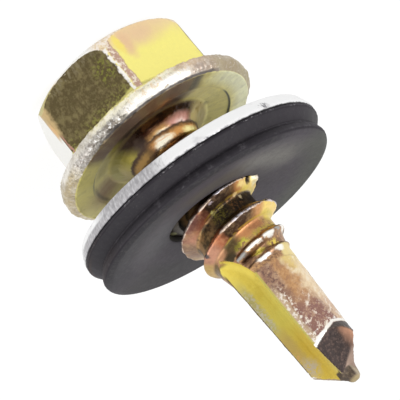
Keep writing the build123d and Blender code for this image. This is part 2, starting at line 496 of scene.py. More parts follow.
def head_finish():
    """The film from the top of the head to the neck, whose gleams are smoother and more like metal."""
    m = zinc_chromate("chromate_on_head")
    m.hatch = m.noise(5.5, 3, 0.65, at=m.stretched(0.35))
    # radial streaks, used for the painted reflection on the underside
    m.rays = m.streaks(14, 1)
    past_shoulder = m.z - (m.radius - hex_half_width) * flange_rise - hex_base
    head = m.ramp(past_shoulder, -0.01, -0.07) * m.ramp(m.radius, 4.85, 4.80)
    shoulder = m.ramp(past_shoulder, -0.07, -0.01) * m.ramp(m.z, rim_top + 0.04, rim_top - 0.02)
    outside_seat = m.ramp(m.radius, seat_radius + 0.01, seat_radius + 0.05)
    rim = m.ramp(m.z, rim_top - 0.03, rim_top + 0.03) * outside_seat
    inside_seat = m.ramp(m.radius, seat_radius + 0.05, seat_radius)
    under = m.ramp(m.z, bearing_plane - 0.55, bearing_plane - 0.40) * inside_seat
    crown = head * m.ramp(m.z, crown_depth + 0.1, crown_depth) * m.ramp(m.facing_z, -0.12, -0.32)
    neck = under * m.ramp(m.radius, neck_radius, neck_radius - 0.3)
    gleaming = neck * m.arc(-152, -64, 10)

    paint_hexagon(m, head)
    paint_crown(m, crown)
    m.lay(shoulder, (246, 240, 176))
    m.lay(shoulder * m.arc(-48, -25), (250, 250, 246))
    paint_rim(m, rim)
    paint_underside(m, under)
    paint_neck(m, neck)
    weather(m)
    return m.finish(
        metallic=film_metallic - (under - gleaming) * 0.45,
        roughness=0.34 + m.grain * 0.16 - gleaming * 0.22,
    )


def shank_finish():
    """The film on the thread and the drill point; the flutes, and the chipped spots and painted sparks, are
    less like a mirror.
    """
    m = zinc_chromate("chromate_on_shank")
    m.glitter = m.speck * 0.5 + m.grain * 0.5
    paint_grooves(m)
    paint_last_groove(m)
    paint_flanks(m)
    paint_crests(m)
    chips_and_sparks = paint_chips_and_sparks(m)
    flute = paint_drill(m)
    weather(m)
    return m.finish(
        metallic=film_metallic - flute * 0.50 - chips_and_sparks * 0.3,
        roughness=0.30 + m.grain * 0.16 + flute * 0.18,
    )


def paint_hexagon(m, head):
    """Bright yellow, dark olive brown and white faces in turn, which are painted reflections, with worn
    corners between them.
    """
    # painted reflections: yellow where a face mirrors light, olive brown where it mirrors dark, white where
    # the reflection burns out
    faces = {
        -120: (249, 239, 140), -60: (96, 84, 56), 0: (248, 247, 243),
        60: (220, 198, 112), 120: (243, 231, 138), 180: (150, 130, 84),
    }
    for middle, tone in faces.items():
        m.lay(head * m.arc(middle - 30, middle + 30, 0.3, ragged=False), tone)

    # rose clouds near the top of the bright faces
    bright = head * m.arc(-262, -90, 1)
    m.lay(bright * m.ramp(m.z + m.cloud * 1.6, 2.5, 1.1), (240, 214, 168))
    m.lay(bright * m.spot(-120, 4.2, 0.9, 2.2, 1.1, 0.8) * 0.8, (234, 200, 164))
    m.lay(bright * m.spot(-106, 4.2, 1.15, 0.7, 1.5, 0.6) * 0.8, (233, 196, 158))
    m.lay(bright * m.spot(-101, 4.3, 1.0, 0.42, 1.2, 0.5), (249, 230, 124))

    # brown mottling on the dark faces, with olive and khaki glints in it
    dark = head * (m.arc(-89, -31.5, 0.8) + m.arc(152, 208, 0.8) * 0.6)
    m.mottle(dark, m.hatch, (98, 85, 60), (132, 118, 84), 0.45)
    m.mottle(dark, m.patch, (94, 84, 54), (140, 128, 88), 0.6)
    m.mottle(dark, m.grain, (92, 81, 56), (128, 117, 84), 0.4)
    m.lay(dark * m.ramp(m.grain, 0.50, 0.60) * m.spot(-82, 4.3, 1.8, 1.0, 1.5, 0.6) * 0.8, (134, 136, 60))
    m.lay(dark * m.ramp(m.grain, 0.48, 0.60) * m.ramp(m.z, 2.6, 3.3) * 0.8, (138, 134, 72))
    m.lay(dark * m.ramp(m.hatch, 0.48, 0.58) * m.ramp(m.z, 1.0, 0.5) * 0.6, (140, 130, 104))
    m.lay(head * m.ramp(m.z + m.grain * 0.2, 3.45, 3.58), (206, 198, 122))

    # the two corners that show, worn through the film, and then those behind
    m.lay(head * m.arc(-95.5, -91.5, 0.8), (194, 160, 142))
    m.lay(head * m.arc(-94.5, -91, 0.8) * m.ramp(m.grain, 0.48, 0.58), (240, 226, 208))
    m.lay(head * m.arc(-90.9, -89.2, 0.5) * m.ramp(m.patch, 0.38, 0.48), (250, 246, 240))
    m.lay(head * m.arc(-33, -24, 1.6) * m.ramp(m.z, 2.7, 2.1), (206, 180, 132))
    m.lay(head * m.spot(-28, 4.5, 1.9, 0.5, 0.9, 0.5), (230, 190, 136))
    m.lay(head * m.arc(-31.8, -30.8, 0.4) * m.ramp(m.z, 2.2, 2.6), (184, 142, 124))
    for corner in (30, 90, 150):
        m.lay(head * m.arc(corner - 2.2, corner + 1.8, 0.8), (214, 184, 158))
        m.lay(head * m.arc(corner - 0.8, corner + 0.8, 0.5), (248, 242, 232))


def paint_crown(m, crown):
    """The forged bevel round the top of the head: rose and cream, and white towards the light, a painted
    highlight over bare zinc.
    """
    m.lay(crown, (236, 214, 176))
    m.mottle(crown, m.grain, (206, 178, 140), (250, 240, 224), 0.6)
    m.lay(crown * m.arc(-106, -84, 3) * m.ramp(m.hatch, 0.42, 0.56), (250, 240, 228))
    # painted highlight on the bevel
    m.lay(crown * m.arc(-84, -50), (253, 252, 248))
    m.lay(crown * m.arc(-45, -20), (206, 196, 136))
    # painted highlight on the bevel above the white face
    m.lay(crown * m.arc(-14, 40, 6), (248, 246, 242))


def paint_rim(m, rim):
    """The rim has lost most of its film: bare zinc, dented, with dark streaks across it, and a painted
    highlight on its lower half.
    """
    lower = rim * m.ramp(m.z + m.hatch * 0.3, rim_middle + 0.05, rim_middle + 0.3)
    m.lay(rim, (206, 194, 166))
    m.lay_arcs(rim, (-136, -112, 6, (214, 190, 162)), (-110, -58, 6, (250, 244, 218)))
    m.lay(rim * m.arc(-105, -60, 8) * m.ramp(m.z + m.grain * 0.2, 4.22, 4.10), (238, 228, 132))
    m.lay_arcs(rim, (-54, -44, 4, (208, 202, 190)), (-40, -18, 6, (240, 236, 228)))
    m.lay(rim * m.arc(-126, -94, 7) * m.ramp(m.hatch, 0.50, 0.60) * 0.8, (206, 172, 134))
    m.lay_arcs(
        lower,
        (-215, -137, 4, (206, 200, 168)),
        (-136, -120, 4, (184, 166, 152)),
        # painted highlight: the near-white arc from -118 to -76 degrees
        (-118, -76, 5, (253, 250, 244)),
        (-74, -50, 5, (130, 124, 116)),
        (-50, -34, 5, (184, 178, 172)),
        (-32, 25, 8, (192, 176, 140)),
    )

    # streaks and spots, but for the bright gleam
    quiet = rim * (1 - lower * m.arc(-116, -78, 6))
    streak = (160, 148, 132)
    m.mottle(quiet, m.hatch, streak, (250, 246, 238), 0.25)
    m.mottle(quiet, m.patch, streak, (248, 244, 234), 0.35)
    m.lay(quiet * m.ramp(m.grain, 0.44, 0.34) * 0.3, (150, 138, 122))
    speckled = lower * m.arc(-80, -28, 8)
    m.lay(speckled * m.ramp(m.grain, 0.48, 0.38) * 0.6, (124, 116, 110))
    m.lay(speckled * m.ramp(m.grain, 0.58, 0.66) * 0.8, (250, 250, 248))
    m.lay(rim * m.arc(-120, -80, 6) * m.ramp(m.hatch, 0.54, 0.64) * 0.6, (230, 200, 150))
    m.lay(lower * m.arc(-215, -142, 6) * 0.8, (168, 154, 120))
    m.lay(rim * m.arc(-160, -132, 6) * 0.6, (176, 158, 134))
    m.lay(rim * m.ramp(m.speck, 0.60, 0.68) * 0.5, (252, 248, 240))

    # the shade along its lower edge
    m.lay(rim * m.ramp(m.z + m.grain * 0.06, 4.74, 4.79) * m.arc(-137, -55, 6), (112, 106, 102))


def paint_underside(m, under):
    """Bearing face and relief: khaki and pale yellow, painted lighter to offset the shade under the flange,
    with a dark stretch and copper streaks across it, and near white at the right rim, all painted
    reflection.
    """
    m.lay(under, (216, 204, 128))
    m.lay_arcs(
        under,
        (-156, -126, 9, (234, 222, 136)),
        (-6, 60, 9, (222, 210, 132)),
        (-215, -152, 12, (248, 238, 152)),
    )
    # painted reflection: the pale right side, near white towards the rim
    m.lay(under * m.arc(-215, -140, 14) * m.ramp(m.radius, 3.9, 4.7), (255, 255, 214))

    # the dark stretch, with copper streaks across it: painted reflection
    m.lay_arcs(under, (-128, -36, 8, (134, 114, 82)), (-114, -46, 9, (128, 106, 92)))
    m.lay(under * m.arc(-120, -48, 10) * m.band(m.radius, 2.9, 3.6, 0.4), (70, 55, 48))
    m.lay(under * m.arc(-126, -121, 3) * m.ramp(m.radius, 3.9, 4.3) * 0.7, (84, 84, 78))
    m.lay(under * m.arc(-106, -88, 7) * m.band(m.radius, 3.1, 4.3, 0.4), (150, 102, 68))
    m.lay(under * m.arc(-102, -95, 4) * m.band(m.radius, 3.3, 4.2, 0.4), (206, 142, 90))
    m.lay(under * m.arc(-96, -83, 5) * m.ramp(m.radius, 3.1, 4.0) * 0.8, (140, 106, 76))

    # the khaki stretch after it, the dark film in the relief, and painted shade along the relief's edge
    m.lay(under * m.arc(-36, -2, 9), (228, 218, 132))
    m.lay(under * m.arc(-50, -14, 9) * m.band(m.radius, 3.0, 3.85, 0.3), (184, 172, 84))
    m.lay(under * m.spot(15, 3.5, 4.6, 1.6, 1.2, 0.9) * 0.9, (150, 114, 84))
    m.lay(under * m.arc(4, 30, 12) * m.band(m.radius, 3.78, 3.94, 0.08) * 0.7, (96, 84, 58))
    # painted shade along the relief's edge on the left
    m.lay(under * m.arc(-60, 0, 10) * m.band(m.radius, 3.93, 4.07, 0.03) * 0.7, (120, 114, 72))
    m.lay(under * m.arc(70, 120, 12), (98, 82, 54))

    # radial streaks of painted reflection, then lighter and darker patches
    m.mottle(under, m.rays, (96, 84, 56), (206, 198, 138), 0.10)
    m.mottle(under, m.patch, (110, 98, 64), (200, 192, 130), 0.14)
    # painted shade along the relief's edge on the right
    m.lay(under * m.band(m.radius, 3.97, 4.05, 0.03) * m.arc(-215, -165), (92, 96, 74))
    m.lay(under * m.spot(-172, 2.9, 4.6, 0.30, 0.5, 0.8) * 0.6, (120, 104, 66))


def paint_neck(m, neck):
    """The fillet under the head: dark, with rose, white and gold gleams in rings; the gleams are painted
    highlights, the dark rings between them painted shade.
    """
    down = m.z - m.radius + (m.grain - 0.5) * 0.25 + (m.patch - 0.5) * 0.3
    m.lay(neck, (184, 168, 100))
    m.lay_arcs(neck, (-168, -152, 8, (196, 176, 104)), (-148, -34, 10, (90, 72, 62)))
    m.lay(neck * m.arc(-34, 24, 12) * m.ramp(down, 2.5, 2.1), (184, 176, 104))

    # the wide ring, with painted highlights
    m.lay(neck * m.arc(-146, -72, 8) * m.band(down, 2.45, 2.98, 0.22), (150, 104, 82))
    m.lay_spots(
        neck,
        (-122, 2.36, 5.09, 1.50, 0.62, 0.6, (240, 178, 164)),
        (-126, 2.35, 5.09, 0.80, 0.34, 0.6, (255, 240, 226)),
        (-88, 2.30, 5.14, 1.40, 0.60, 0.6, (240, 186, 110)),
        (-90, 2.30, 5.15, 1.10, 0.32, 0.5, (255, 252, 232)),
        (-76, 2.33, 5.10, 0.34, 0.40, 0.6, (240, 210, 92)),
        (-22, 2.42, 5.00, 1.60, 0.80, 0.7, (176, 164, 70)),
        (-32, 2.38, 5.06, 0.80, 0.36, 0.7, (206, 190, 84)),
    )

    # the rings beside the washer: painted highlights, with painted shade in the dark lines between them
    m.lay(neck * m.ramp(down, 2.98, 3.14), (86, 64, 48))
    m.lay(neck * m.arc(-158, -66, 10) * m.band(down, 3.30, 3.78, 0.20), (210, 152, 88))
    m.lay_spots(
        neck,
        (-139, 1.96, 5.48, 1.00, 0.40, 0.5, (253, 238, 170)),
        (-96, 1.97, 5.46, 0.70, 0.26, 0.5, (255, 240, 206)),
        (-84, 1.94, 5.50, 0.90, 0.46, 0.5, (255, 248, 224)),
    )
    m.lay(neck * m.arc(-102, -78, 4) * m.band(down, 3.44, 3.50, 0.06) * 0.7, (240, 168, 108))
    m.lay(neck * m.arc(-56, 20, 10) * m.band(down, 3.38, 3.86, 0.16), (186, 146, 82))
    m.lay(neck * m.band(down, 3.80, 3.86, 0.06) * 0.8, (96, 66, 44))
    m.lay(neck * m.arc(-150, -70, 8) * m.ramp(down, 3.90, 4.0), (232, 186, 116))


def paint_grooves(m):
    """The grooves of the thread: brown, with olive and copper glints, turning tan round the screw."""
    m.lay(1.0, (126, 104, 70))
    m.lay(m.arc(-162, -50, 14), (76, 65, 55))
    m.lay(m.arc(20, 120, 20), (92, 76, 54))
    m.mottle(1.0, m.patch, (54, 44, 36), (112, 92, 62), 0.6)
    m.mottle(1.0, m.grain, (60, 50, 40), (136, 112, 72), 0.4)
    m.lay(m.spot(-82, 1.8, 10.30, 1.0, 0.8, 0.6) * m.ramp(m.glitter, 0.46, 0.56), (132, 122, 62))
    m.lay(m.spot(-110, 1.8, 10.15, 0.9, 0.7, 0.6) * m.ramp(m.glitter, 0.52, 0.60), (150, 108, 72))
    m.lay(m.arc(-60, 0, 16) * m.ramp(m.patch, 0.36, 0.60), (176, 138, 92))


def paint_last_groove(m):
    """The last groove: copper and gold, turning brown and olive round the screw."""
    along_helix = m.z - m.turned(front_azimuth) * (pitch / 360)
    groove = m.ramp(along_helix, 11.15, 11.35)
    m.lay_arcs(groove, (-90, 30, 12, (120, 98, 66)), (-178, -82, 12, (196, 150, 106)))
    m.mottle(groove * m.arc(-178, -82, 8), m.patch, (160, 118, 90), (230, 196, 116), 0.8)
    m.mottle(groove * m.arc(-178, -62, 8), m.glitter, (140, 104, 78), (236, 206, 134), 0.35)
    m.lay(groove * m.arc(-178, -146, 10) * m.band(along_helix, 11.4, 11.9, 0.15), (232, 208, 96))
    m.lay(groove * m.arc(-128, -104, 8) * m.band(along_helix, 11.4, 12.0, 0.2) * 0.7, (206, 138, 96))
    # a painted highlight: the gold line along the groove
    gold_line = groove * m.arc(-160, -100, 8) * m.band(along_helix, 12.02, 12.25, 0.08)
    m.lay(gold_line * m.ramp(m.grain, 0.42, 0.52), (214, 188, 92))
    m.lay(groove * m.spot(-92, 1.85, 11.75, 0.8, 0.5, 0.6), (226, 160, 108))
    m.lay(groove * m.spot(-84, 1.8, 12.05, 0.6, 0.40, 0.5) * m.ramp(m.grain, 0.38, 0.50), (228, 216, 96))
    m.lay(groove * m.spot(-71, 1.8, 12.10, 0.4, 0.36, 0.5) * m.ramp(m.grain, 0.40, 0.50), (160, 150, 62))
    m.lay(groove * m.spot(-68, 1.85, 11.6, 0.9, 0.8, 0.7) * 0.8, (88, 76, 50))
    m.lay(groove * m.arc(-50, -26, 8) * m.ramp(m.z, 12.1, 11.9), (196, 148, 112))
    m.lay(groove * m.spot(-52, 1.80, 12.20, 0.7, 0.6, 0.6), (70, 60, 42))


def paint_flanks(m):
    """The flanks turn from gold through copper and dark brown to rose and tan round the screw, partly the
    film's tone and partly painted reflection.
    """
    threaded = m.ramp(m.z, thread_end, thread_end - 0.1)
    flank = m.ramp(m.radius, core_radius + 0.02, core_radius + 0.16) * threaded
    m.lay(flank, (170, 142, 108))
    m.lay_arcs(
        flank,
        (-215, -126, 12, (252, 222, 128)),
        (-132, -112, 9, (206, 146, 92)),
        (-118, -58, 8, (76, 58, 46)),
        (-66, -48, 9, (190, 120, 86)),
        (-50, -14, 9, (202, 148, 122)),
    )
    m.lay(flank * m.arc(-66, -14, 9) * m.ramp(m.z, 10.2, 9.8), (122, 82, 74))
    m.lay(flank * m.arc(-12, 22, 10), (142, 114, 94))
    m.lay(flank * m.arc(-16, 24, 10) * m.ramp(m.z, 10.6, 11.2), (196, 164, 100))
    m.lay(flank * m.arc(60, 130, 20), (126, 96, 68))
    m.lay(flank * m.arc(-215, -138, 8) * m.ramp(m.radius, 2.20, 1.98) * 0.8, (216, 196, 72))
    m.mottle(flank, m.grain, (74, 58, 48), (236, 206, 160), 0.10)
    m.mottle(flank, m.cloud * 0.5 + m.patch * 0.5, (120, 88, 66), (240, 196, 140), 0.25)

    # a painted highlight along the foot of the flank
    climb = m.maths("FLOORED_MODULO", m.azimuth - first_crest_azimuth, 360) * (pitch / 360)
    past_crest = m.maths("FLOORED_MODULO", m.z - climb - (first_crest - pitch / 2), pitch) - pitch / 2
    foot = m.band(past_crest, 0.345, 0.385, 0.030) * threaded * m.ramp(m.patch, 0.38, 0.52)
    m.lay(foot * m.arc(-150, -64, 8), (214, 184, 84))


def paint_crests(m):
    """The crests: rose grey, worn pale. The last tone is the shade beside the seal."""
    crest = m.ramp(m.radius + m.grain * 0.05, crest_radius - 0.02, crest_radius + 0.02)
    m.lay(crest, (214, 194, 178))
    m.lay(crest * m.arc(-112, -90, 5), (206, 204, 216))
    m.lay(crest * m.ramp(m.patch, 0.50, 0.42), (134, 118, 108))
    m.lay(crest * m.arc(-215, -148, 8), (232, 222, 226))
    m.lay(m.arc(-20, 80, 10) * m.ramp(m.z, 9.45, 9.2), (62, 55, 46))


def paint_chips_and_sparks(m):
    """Small chipped spots and sparks, the sparks painted highlights, and last the torn flap and its gap,
    darkened as painted shade; gives 1 on all of them.
    """
    chips_and_sparks = 0.0
    for *shape, tone in (  # azimuth, radius, z, width, height
        (-120, 1.86, 9.80, 0.34, 0.16, (255, 226, 166)),
        (-129, 1.84, 9.95, 0.22, 0.18, (255, 236, 190)),
        (-76, 1.88, 9.98, 0.26, 0.16, (250, 240, 150)),
        (-82, 2.36, 9.67, 0.24, 0.12, (214, 196, 200)),
        (-34, 2.32, 11.43, 0.34, 0.26, (92, 82, 80)),
        (-26, 1.86, 11.98, 0.30, 0.20, (226, 186, 130)),
        (22, 2.43, 8.53, 0.44, 0.44, (170, 168, 122)),
        (-132, 2.36, 9.60, 0.60, 0.30, (255, 226, 146)),
        (-164, 2.42, 9.28, 0.70, 0.40, (244, 232, 186)),
        (-149, 2.38, 9.36, 0.48, 0.50, (62, 48, 40)),
    ):
        dab = m.spot(*shape, soft=0.4)
        chips_and_sparks = chips_and_sparks + dab
        m.lay(dab, tone)
    return m.maths("MINIMUM", chips_and_sparks, 1.0)


def paint_drill(m):
    """The forged drill point: yellow flutes, copper lands and dark relief cones; gives 1 in the flutes."""
    body = m.ramp(m.z + m.grain * 0.15, 13.38, 13.50)
    taper = (m.z - drill_base) * drill_taper
    long = m.toward(land_azimuth) / (land_radius - taper)
    wide = m.toward(land_azimuth + 90) / (waist_radius - taper)
    oval = m.maths("SQRT", long * long + wide * wide)
    paint_land(m, body)
    paint_runout(m)
    flute = flute_share(m, oval)
    paint_flute(m, flute)
    paint_point(m, oval)
    return flute


def paint_land(m, body):
    """The lands: copper, turning to rose towards the point, with a pale side that is a painted highlight,
    and scratches.
    """
    scratch = m.noise(4.0, 3, 0.65, at=m.stretched(0.35, scratch_run))
    cluster = m.ramp(m.patch, 0.44, 0.56)
    m.lay(body, (190, 146, 108))
    m.lay(body * m.arc(-132, -86, 10) * m.ramp(m.z + m.cloud * 2, 17.4, 16.2), (198, 152, 106))
    m.lay(body * m.ramp(m.z + m.cloud * 1.6, 16.4, 17.4), (150, 112, 104))
    m.lay(body * m.arc(-92, -72, 6) * m.ramp(m.z, 16.4, 15.4), (158, 124, 104))
    m.mottle(body, m.grain, (146, 110, 92), (220, 182, 140), 0.30)
    m.mottle(body, scratch, (152, 114, 96), (218, 184, 150), 0.40)
    shaded = body * m.arc(-94, -72, 6) * m.ramp(m.z, 15.9, 14.8)
    m.lay(shaded * m.ramp(m.grain, 0.48, 0.38) * 0.8, (108, 84, 80))

    # the pale side, a painted highlight, which narrows towards the point
    retreat = m.maths("MAXIMUM", m.z - 15.6, 0.0) * 12
    pale = body * m.ramp(m.turned(-124) + (m.patch - 0.5) * 50 + retreat, 16, -14)
    pale = pale * m.arc(-215, -108, 4)
    m.lay(pale, (240, 218, 182))
    m.lay(pale * m.ramp(m.z + m.patch, 15.2, 14.0), (240, 222, 164))
    m.lay(pale * m.ramp(m.z + m.patch * 1.5, 16.4, 17.4), (216, 184, 156))
    m.lay(body * m.spot(-130, 1.72, 13.8, 0.6, 1.6, 0.8) * 0.8, (228, 200, 116))
    m.mottle(pale, scratch, (222, 194, 158), (250, 242, 224), 0.45)

    # scratches and rubbed spots, in clusters
    m.lay(body * m.ramp(scratch, 0.54, 0.64) * m.ramp(m.z, 15.0, 16.6) * cluster, (242, 230, 214))
    m.lay(body * m.ramp(m.grain, 0.53, 0.62) * m.ramp(m.z, 15.6, 16.8) * cluster * 0.7, (238, 224, 208))
    m.lay(body * m.ramp(m.speck, 0.60, 0.68) * m.ramp(m.z, 15.2, 17.0) * 0.4, (240, 226, 210))
    m.lay(pale * m.ramp(scratch, 0.50, 0.60) * m.ramp(m.z, 16.9, 17.3) * 0.8, (248, 240, 226))

    # the edge beside the flute
    m.lay(body * m.arc(-78, -68, 3) * m.ramp(m.z, 14.4, 15.4) * 0.7, (214, 190, 158))
    m.lay(body * m.ramp(m.grain, 0.50, 0.60) * m.arc(-84, -66, 4) * m.ramp(m.z, 14.6, 15.6), (240, 230, 216))
    m.lay(body * m.arc(-70, -66, 1.5, ragged=False), (200, 188, 100))


def paint_runout(m):
    """Where the rolled thread ends: broken crests with painted highlights, over brown and gold."""
    end = m.ramp(m.z, 12.2, 12.35) * m.ramp(m.z, 13.75, 13.6)
    m.lay(end, (166, 128, 96))
    m.mottle(end, m.grain, (110, 84, 66), (220, 174, 118), 0.6)
    between = end * m.ramp(m.radius, 1.88, 1.80) * m.band(m.z, 12.62, 13.05, 0.08)
    m.lay(between * m.arc(-150, -60, 8), (140, 106, 80))
    # yellow glints between the crests: painted highlights
    m.lay(end * m.spot(-126, 1.8, 12.76, 0.8, 0.30, 0.5) * m.ramp(m.grain, 0.40, 0.5), (236, 210, 100))
    m.lay(end * m.spot(-92, 1.8, 12.93, 0.8, 0.26, 0.5) * m.ramp(m.grain, 0.36, 0.46), (226, 214, 88))
    m.lay(end * m.spot(-72, 1.8, 13.0, 0.6, 0.5, 0.5) * 0.8, (100, 72, 56))
    m.lay(end * m.arc(-185, -128) * m.ramp(m.z, 12.9, 13.1), (236, 216, 150))
    # painted highlights on the broken crests, among grey, dark and copper marks
    for *shape, tone in (  # azimuth, radius, z, width, height
        (-165, 2.05, 12.15, 1.1, 0.22, (250, 248, 240)),
        (-142, 2.05, 12.28, 0.5, 0.16, (170, 166, 160)),
        (-122, 2.05, 12.40, 0.8, 0.24, (255, 252, 244)),
        (-92, 2.03, 12.55, 1.0, 0.20, (255, 250, 238)),
        (-66, 2.00, 12.66, 0.8, 0.20, (158, 156, 152)),
        (-54, 1.78, 12.28, 0.5, 0.30, (70, 60, 44)),
        (-128, 1.95, 13.22, 0.9, 0.26, (255, 252, 244)),
        (-94, 1.88, 13.36, 0.9, 0.22, (255, 252, 246)),
        (-112, 1.90, 13.30, 0.3, 0.2, (222, 178, 144)),
    ):
        m.lay(m.spot(*shape, soft=0.3), tone)


def flute_share(m, oval):
    """1 on the flutes and their run-out; oval is 1 on the lands and 0 on the axis."""
    out = m.toward(flute_azimuth)
    down = m.toward(flute_azimuth - 90) * m.maths("SIGN", out)
    back = m.maths("MINIMUM", m.z - flute_straight, 0.0)
    rise = flute_wheel - m.maths("SQRT", flute_wheel ** 2 - back * back)
    off_floor = m.maths("ABSOLUTE", down - flute_depth - rise)
    on_floor = m.ramp(off_floor, 0.10, 0.05) * m.ramp(m.z, 11.7, 11.9)
    inside = m.ramp(oval, 0.965, 0.945) * m.ramp(m.z, 13.1, 13.3)
    narrowed = m.radius + m.maths("MAXIMUM", m.z - run_out_height, 0.0) * run_out_narrowing
    core = m.ramp(narrowed, core_radius - 0.05, core_radius - 0.10)
    core = core * m.ramp(m.z, 11.9, 12.1) * m.ramp(m.z, 13.3, 13.1)
    return m.maths("MAXIMUM", m.maths("MAXIMUM", inside, on_floor), core)


def paint_flute(m, flute):
    """Brass yellow, painted paler along the floor near the inner corner to offset the darkening there, and
    rubbed white at the edges.
    """
    out = m.maths("ABSOLUTE", m.toward(flute_azimuth))
    start = m.z + (m.grain - 0.5) * 0.9 + (m.patch - 0.5) * 0.7 + 0.50
    clouds = m.cloud * 0.5 + m.patch * 0.5
    m.lay(flute * m.ramp(start, 12.00, 12.50), (236, 218, 104))
    m.lay(flute * m.band(start, 11.9, 12.4, 0.12) * m.ramp(m.speck, 0.46, 0.58), (150, 110, 64))
    m.mottle(flute * m.ramp(m.z, 12.3, 12.6), clouds, (220, 202, 88), (240, 228, 118), 0.5)
    m.lay(flute * m.ramp(m.z, 14.5, 15.5) * 0.6, (230, 218, 108))
    m.lay(flute * m.ramp(m.z + m.cloud * 2, 16.6, 18.6), (226, 198, 84))
    # painted light near the inner corner, against the darkening from its own reflections
    m.lay(flute * m.ramp(out, 0.50, 0.15) * m.ramp(m.z, 12.8, 13.6), (248, 238, 154))

    edge = flute * m.ramp(out + m.grain * 0.3, 1.24, 1.50)
    wide_edge = flute * m.ramp(out + m.patch * 0.5, 1.10, 1.40)
    rim_of_land = flute * m.ramp(out + (m.z - drill_base) * drill_taper, 1.56, 1.61)
    m.lay(edge * m.band(m.z, 13.2, 16.0, 0.6) * 0.8, (196, 190, 136))
    m.lay(edge * m.ramp(m.grain, 0.44, 0.58) * m.band(m.z, 13.5, 15.9, 0.4), (218, 212, 190))
    m.lay(wide_edge * m.band(m.z, 16.2, 18.2, 0.6) * 0.8, (206, 180, 110))
    m.lay(edge * m.ramp(m.speck, 0.52, 0.62) * m.band(m.z, 17.3, 17.9, 0.2), (226, 182, 118))
    m.lay(flute * m.spot(8, 1.2, 18.5, 0.7, 0.9, 0.8) * m.ramp(m.grain, 0.34, 0.52), (206, 192, 170))
    # painted reflection: the dark line along the land's rounded rim
    m.lay(rim_of_land * m.band(m.z, 12.4, 18.8, 0.2), (112, 90, 60))


def paint_point(m, oval):
    """Relief cones, ground dark, with painted highlights along their edges, and the brown nib between them.
    """
    # painted highlight along the eased edge between land and cone
    border = m.band(m.facing_z, 0.10, 0.30, 0.06) * m.ramp(oval, 0.86, 0.9)
    m.lay(m.ramp(m.z, point_start - 0.2, point_start) * border * (1 - m.arc(-115, -100)), (250, 246, 240))
    cone = m.ramp(m.z, point_start - 0.05, point_start + 0.05) * m.ramp(m.facing_z, 0.26, 0.36)
    side = m.toward(flute_azimuth + 180)
    past_slope = side + (m.z - nib_top) * 1.2  # out from a line that leans with the cone
    lit = (176, 150, 134)
    m.lay(cone, (60, 46, 42))
    m.mottle(cone, m.patch, (50, 40, 38), (80, 66, 62), 0.6)
    m.mottle(cone, m.grain, (42, 33, 32), (106, 86, 78), 0.55)
    m.lay(cone * m.ramp(m.speck, 0.62, 0.72) * 0.4, (140, 120, 110))
    m.lay(cone * m.ramp(side + m.patch * 0.4, 0.90, 1.70) * m.arc(-185, -118, 10), (208, 154, 122))
    m.lay(cone * m.ramp(m.z, 18.7, 19.1) * m.ramp(past_slope, 0.10, 0.28), lit)

    # the ground edge of the cone that shows, rolled over the end of its land, with a painted highlight along
    # it
    seen = m.arc(-190, -67, 2, ragged=False)
    edge = edge_height + m.maths("MAXIMUM", m.turned(-120), 0.0) * edge_rise
    past_edge = m.z + (m.grain - 0.5) * 0.12 - edge
    m.lay(seen * m.ramp(past_edge, 0.04, 0.12) * m.ramp(oval, 0.95, 1.0), (84, 76, 72))
    m.lay(seen * m.band(past_edge, -0.10, 0.06, 0.04) * m.ramp(oval, 0.90, 0.96), (250, 246, 238))
    m.lay(m.ramp(m.z, 19.25, 19.40) * m.ramp(past_slope, 0.16, 0.30), lit)
    m.lay(cone * m.arc(-50, 60, 6), (170, 150, 122))

    nib = m.ramp(m.z + m.grain * 0.3, nib_top, nib_top + 0.15)
    nib = nib * m.ramp(m.radius, nib_radius + 0.04, nib_radius)
    m.lay(nib, (88, 74, 62))
    m.mottle(nib, m.grain, (70, 58, 50), (140, 122, 98), 0.5)
    # painted highlight on the nib's side
    m.lay(nib * m.ramp(side, 0.24, 0.38), (196, 180, 156))
    m.lay(nib * m.ramp(m.z, nib_tip - 0.16, nib_tip) * 0.7, (196, 176, 132))


# ---- sealing washer

# heights on the disc's edge, in the washer's own frame, where Z runs towards the sheet
disc_gleam = -1.78
disc_worn = -1.46
disc_torn = -1.50


def washer_place():
    """The washer's own frame: Z along its axis, towards the sheet, with the origin in the seal's face."""
    face = mounts["seal_face"]
    axis = Vector(face["axis"]).normalized()
    turn = Vector((0, 0, 1)).rotation_difference(axis).to_matrix().to_4x4()
    return Matrix.Translation(face["pos_m"]) @ turn


